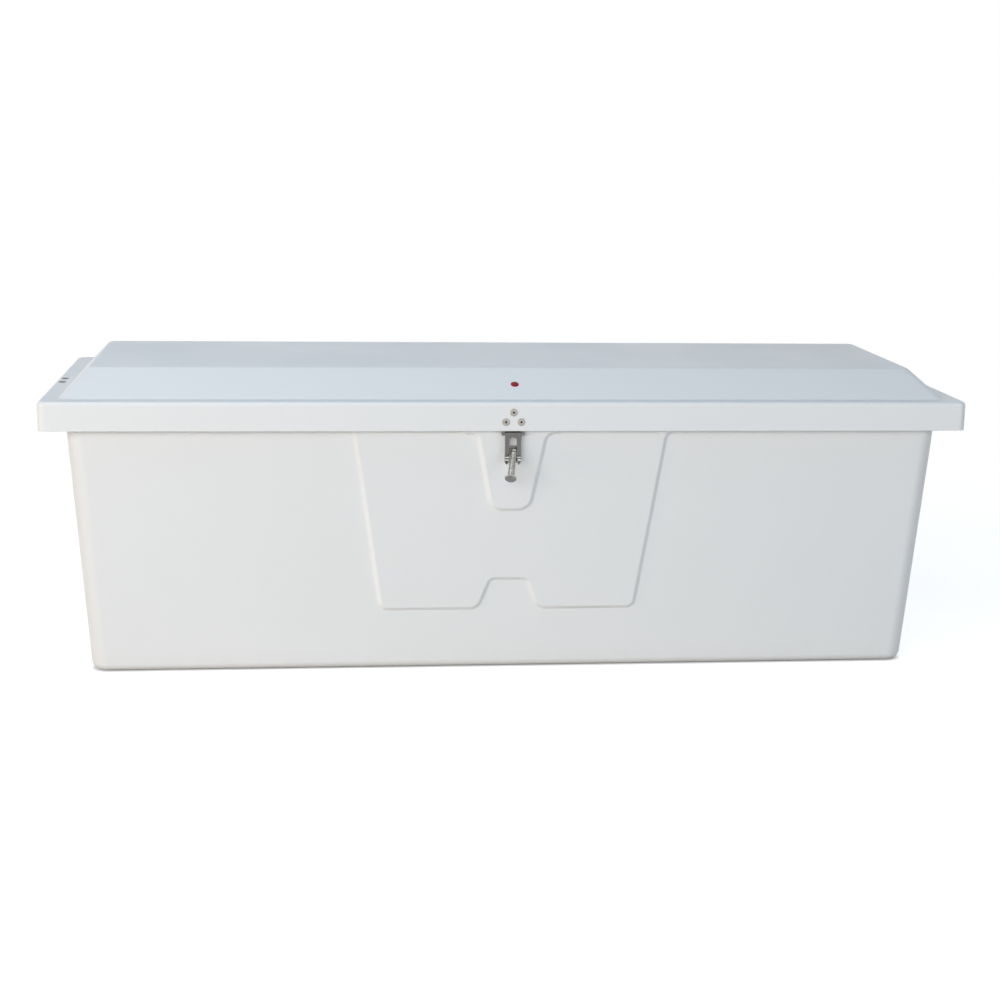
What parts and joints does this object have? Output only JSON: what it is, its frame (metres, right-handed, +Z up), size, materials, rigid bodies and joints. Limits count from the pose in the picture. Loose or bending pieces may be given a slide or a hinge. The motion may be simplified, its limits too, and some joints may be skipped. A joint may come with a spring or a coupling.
{
  "type": "dock box",
  "caption": "Low white moulded dock box with a tapered tub, a raised front panel, a hip-crowned hinged lid on gas struts and a hasp with a quarter-turn handle.",
  "frame": {"origin": "on the ground under the middle of the tub", "axes": "+X along the length, to the right seen from the front; front at -Y; +Z up"},
  "size_m": [1.84, 0.7273, 0.6113],
  "materials": {
    "gelcoat": "white moulded gelcoat",
    "stainless": "polished stainless steel",
    "seal_rubber": "matt",
    "panel_wood": "sealed plywood",
    "badge_red": "gloss",
    "strut_black": "black paint",
    "rod_chrome": "bright",
    "nylon_black": "matt"
  },
  "bodies": {
    "tub": {"tub": "gelcoat", "lid_seal": "seal_rubber", "keeper_plate": "stainless", "keeper_screws": "stainless", "keeper_backing": "stainless", "keeper_nuts": "stainless", "hinge_left_tub_leaf": "stainless", "hinge_left_pin": "stainless", "hinge_mid_tub_leaf": "stainless", "hinge_mid_pin": "stainless", "hinge_right_tub_leaf": "stainless", "hinge_right_pin": "stainless", "hinge_tub_screws": "stainless", "hinge_tub_nuts": "stainless", "strut_left_tub_bracket": "stainless", "strut_right_tub_bracket": "stainless", "strut_tub_clips": "stainless", "strut_tub_rivets": "stainless"},
    "lid": {"lid": "gelcoat", "lid_core": "panel_wood", "badge": "badge_red", "hinge_left_lid_leaf": "stainless", "hinge_mid_lid_leaf": "stainless", "hinge_right_lid_leaf": "stainless", "hinge_lid_screws": "stainless", "hinge_lid_nuts": "stainless", "hasp_leaf": "stainless", "hasp_rivets": "stainless", "hasp_pin": "stainless", "stay_rivets": "stainless", "strut_left_lid_bracket": "stainless", "strut_right_lid_bracket": "stainless", "strut_lid_clips": "stainless"},
    "strap": {"hasp_strap": "stainless"},
    "handle": {"turn_handle": "stainless", "handle_washer": "stainless", "handle_nut": "stainless"},
    "strut_left_cylinder": {"strut_left_tube": "strut_black", "strut_left_tube_eye": "nylon_black", "strut_left_gland": "nylon_black"},
    "strut_left_plunger": {"strut_left_rod": "rod_chrome", "strut_left_piston": "nylon_black", "strut_left_rod_eye": "nylon_black"},
    "strut_right_cylinder": {"strut_right_tube": "strut_black", "strut_right_tube_eye": "nylon_black", "strut_right_gland": "nylon_black"},
    "strut_right_plunger": {"strut_right_rod": "rod_chrome", "strut_right_piston": "nylon_black", "strut_right_rod_eye": "nylon_black"}
  },
  "joints": [
    {"name": "lid_hinge", "type": "hinge", "parent": "tub", "child": "lid", "pos_m": [0, 0.3215, 0.4961], "axis": [-1, 0, 0], "range_deg": [0, 85]},
    {"name": "hasp_swing", "type": "hinge", "parent": "lid", "child": "strap", "pos_m": [0, -0.321, 0.4961], "axis": [-1, 0, 0], "range_deg": [0, 90]},
    {"name": "handle_turn", "type": "hinge", "parent": "tub", "child": "handle", "pos_m": [0, -0.31125, 0.4591], "axis": [0, -0.9979, -0.0645], "range_deg": [-90, 90]},
    {"name": "strut_left_cylinder_swing", "type": "hinge", "parent": "lid", "child": "strut_left_cylinder", "pos_m": [-0.83133, -0.04, 0.5343], "axis": [-1, 0, 0], "range_deg": [-42.5, 0]},
    {"name": "strut_left_plunger_swing", "type": "hinge", "parent": "tub", "child": "strut_left_plunger", "pos_m": [-0.83133, 0.16769, 0.16673], "axis": [-1, 0, 0], "range_deg": [0, 42.5]},
    {"name": "strut_right_cylinder_swing", "type": "hinge", "parent": "lid", "child": "strut_right_cylinder", "pos_m": [0.83133, -0.04, 0.5343], "axis": [-1, 0, 0], "range_deg": [-42.5, 0]},
    {"name": "strut_right_plunger_swing", "type": "hinge", "parent": "tub", "child": "strut_right_plunger", "pos_m": [0.83133, 0.16769, 0.16673], "axis": [-1, 0, 0], "range_deg": [0, 42.5]}
  ],
  "couplings": [
    {"joint": "strut_left_cylinder_swing", "follows": "lid_hinge", "ratio": -0.5},
    {"joint": "strut_left_plunger_swing", "follows": "lid_hinge", "ratio": 0.5},
    {"joint": "strut_right_cylinder_swing", "follows": "lid_hinge", "ratio": -0.5},
    {"joint": "strut_right_plunger_swing", "follows": "lid_hinge", "ratio": 0.5}
  ]
}
